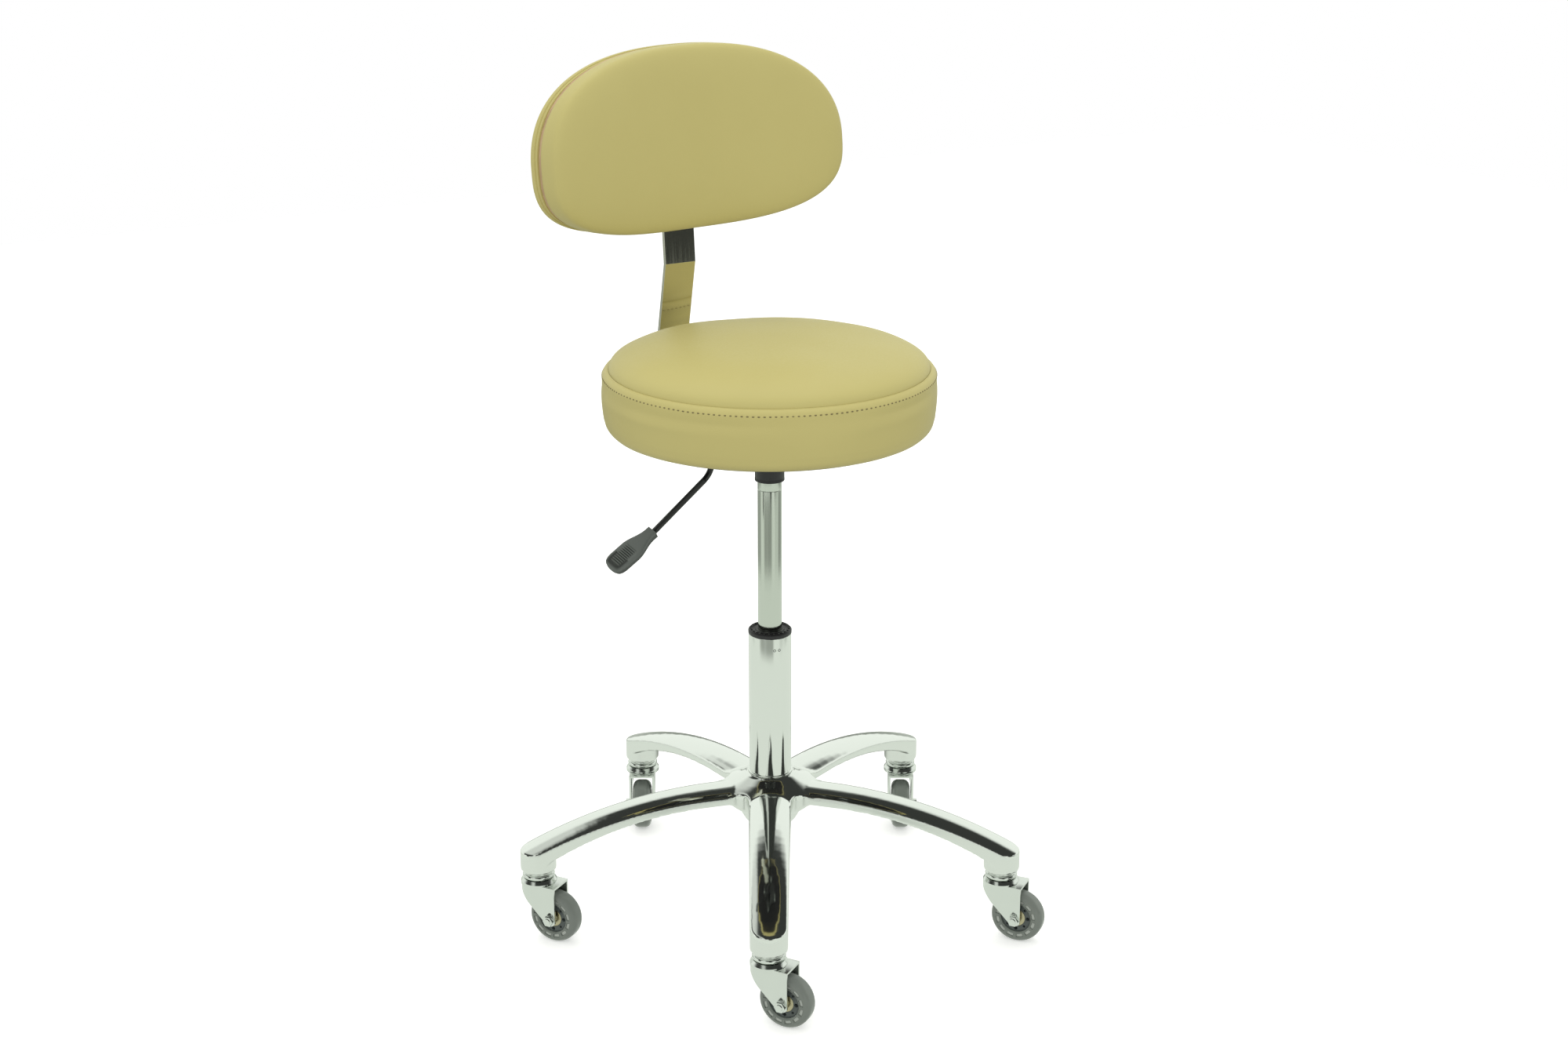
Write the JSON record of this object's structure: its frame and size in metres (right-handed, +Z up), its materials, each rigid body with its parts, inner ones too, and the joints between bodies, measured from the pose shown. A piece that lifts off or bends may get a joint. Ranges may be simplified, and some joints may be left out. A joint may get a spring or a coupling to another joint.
{
  "type": "pedicure stool",
  "caption": "Height-adjustable round padded stool with a curved lumbar backrest on a flat bar, a gas lift lever and a star base on swivel castors.",
  "frame": {"origin": "on the column axis at floor level, under the castor wheels", "axes": "+Z up; the sitter faces -Y with the backrest at +Y; the height lever points to -X, the sitter's right"},
  "size_m": [0.5808, 0.5985, 1.007],
  "materials": {
    "polished_aluminium": "mirror polished crown, satin side walls",
    "chrome": "bright",
    "ground_steel": "ground",
    "bar_steel": "satin",
    "zinc": "bright zinc plating",
    "black_plastic": "fine grain",
    "grip_plastic": "fine grain",
    "black_metal": "glossy black",
    "vinyl": "soft satin grain",
    "foam": "open-cell foam",
    "plywood": "plain",
    "dust_cloth": "non-woven",
    "rubber": "matte",
    "tyre": "translucent polyurethane",
    "hub_plastic": "satin",
    "bearing_metal": "bright"
  },
  "bodies": {
    "base": {"star_base": "polished_aluminium", "stand_tube": "chrome", "tube_floor": "black_metal", "guide_bush": "black_plastic", "thrust_bearing": "ground_steel", "castor_1_stem": "zinc", "castor_2_stem": "zinc", "castor_3_stem": "zinc", "castor_4_stem": "zinc", "castor_5_stem": "zinc"},
    "lift_rod": {"piston_rod": "ground_steel", "piston": "black_plastic", "rod_clip": "black_metal", "bump_stop": "rubber"},
    "seat": {"gas_cylinder": "chrome", "cylinder_end": "black_plastic", "valve_socket": "black_plastic", "seat_plate": "black_metal", "plate_screws": "ground_steel", "lever_pivot_pin": "ground_steel", "seat_board": "plywood", "seat_foam": "foam", "seat_cover": "vinyl", "dust_cover": "dust_cloth", "backrest_bar": "bar_steel", "bar_screws": "ground_steel", "backrest_board": "plywood", "backrest_foam": "foam", "backrest_cover": "vinyl", "backrest_rear_panel": "vinyl", "backrest_bolts": "ground_steel"},
    "lever": {"lever_rod": "black_metal", "lever_grip": "grip_plastic"},
    "valve_pin": {"release_pin": "ground_steel"},
    "castor_1_swivelling": {"castor_1_fork": "zinc", "castor_1_axle": "zinc"},
    "castor_1_rolling": {"castor_1_wheel_hub": "hub_plastic", "castor_1_tyre": "tyre", "castor_1_bearings": "bearing_metal"},
    "castor_2_swivelling": {"castor_2_fork": "zinc", "castor_2_axle": "zinc"},
    "castor_2_rolling": {"castor_2_wheel_hub": "hub_plastic", "castor_2_tyre": "tyre", "castor_2_bearings": "bearing_metal"},
    "castor_3_swivelling": {"castor_3_fork": "zinc", "castor_3_axle": "zinc"},
    "castor_3_rolling": {"castor_3_wheel_hub": "hub_plastic", "castor_3_tyre": "tyre", "castor_3_bearings": "bearing_metal"},
    "castor_4_swivelling": {"castor_4_fork": "zinc", "castor_4_axle": "zinc"},
    "castor_4_rolling": {"castor_4_wheel_hub": "hub_plastic", "castor_4_tyre": "tyre", "castor_4_bearings": "bearing_metal"},
    "castor_5_swivelling": {"castor_5_fork": "zinc", "castor_5_axle": "zinc"},
    "castor_5_rolling": {"castor_5_wheel_hub": "hub_plastic", "castor_5_tyre": "tyre", "castor_5_bearings": "bearing_metal"}
  },
  "joints": [
    {"name": "seat_swivel", "type": "hinge", "parent": "base", "child": "lift_rod", "pos_m": [0, 0, 0.1], "axis": [0, 0, 1], "continuous": true},
    {"name": "height_slide", "type": "slide", "parent": "lift_rod", "child": "seat", "axis": [0, 0, 1], "range_m": [-0.14, 0]},
    {"name": "lever_lift", "type": "hinge", "parent": "seat", "child": "lever", "pos_m": [-0.018, 0, 0.5865], "axis": [0, 1, 0], "range_deg": [0, 6], "stiffness_Nm_per_rad": 4, "springref_deg": -5.73},
    {"name": "pin_press", "type": "slide", "parent": "seat", "child": "valve_pin", "axis": [0, 0, -1], "range_m": [0, 0.002]},
    {"name": "castor_1_swivel", "type": "hinge", "parent": "base", "child": "castor_1_swivelling", "pos_m": [-0.1424, -0.24664, 0.08], "axis": [0, 0, 1], "continuous": true},
    {"name": "castor_1_spin", "type": "hinge", "parent": "castor_1_swivelling", "child": "castor_1_rolling", "pos_m": [-0.12982, -0.2653, 0.031], "axis": [0.829, 0.5592, 0], "continuous": true},
    {"name": "castor_2_swivel", "type": "hinge", "parent": "base", "child": "castor_2_swivelling", "pos_m": [0.19057, -0.21165, 0.08], "axis": [0, 0, 1], "continuous": true},
    {"name": "castor_2_spin", "type": "hinge", "parent": "castor_2_swivelling", "child": "castor_2_rolling", "pos_m": [0.20379, -0.22985, 0.031], "axis": [0.809, 0.5878, 0], "continuous": true},
    {"name": "castor_3_swivel", "type": "hinge", "parent": "base", "child": "castor_3_swivelling", "pos_m": [0.26018, 0.11584, 0.08], "axis": [0, 0, 1], "continuous": true},
    {"name": "castor_3_spin", "type": "hinge", "parent": "castor_3_swivelling", "child": "castor_3_rolling", "pos_m": [0.24893, 0.09635, 0.031], "axis": [0.866, -0.5, 0], "continuous": true},
    {"name": "castor_4_swivel", "type": "hinge", "parent": "base", "child": "castor_4_swivelling", "pos_m": [-0.02977, 0.28324, 0.08], "axis": [0, 0, 1], "continuous": true},
    {"name": "castor_4_spin", "type": "hinge", "parent": "castor_4_swivelling", "child": "castor_4_rolling", "pos_m": [-0.04102, 0.26375, 0.031], "axis": [0.866, -0.5, 0], "continuous": true},
    {"name": "castor_5_swivel", "type": "hinge", "parent": "base", "child": "castor_5_swivelling", "pos_m": [-0.27858, 0.05921, 0.08], "axis": [0, 0, 1], "continuous": true},
    {"name": "castor_5_spin", "type": "hinge", "parent": "castor_5_swivelling", "child": "castor_5_rolling", "pos_m": [-0.26599, 0.04056, 0.031], "axis": [0.829, 0.5592, 0], "continuous": true}
  ],
  "couplings": [
    {"joint": "pin_press", "follows": "lever_lift", "m_per_rad": 0.018}
  ]
}
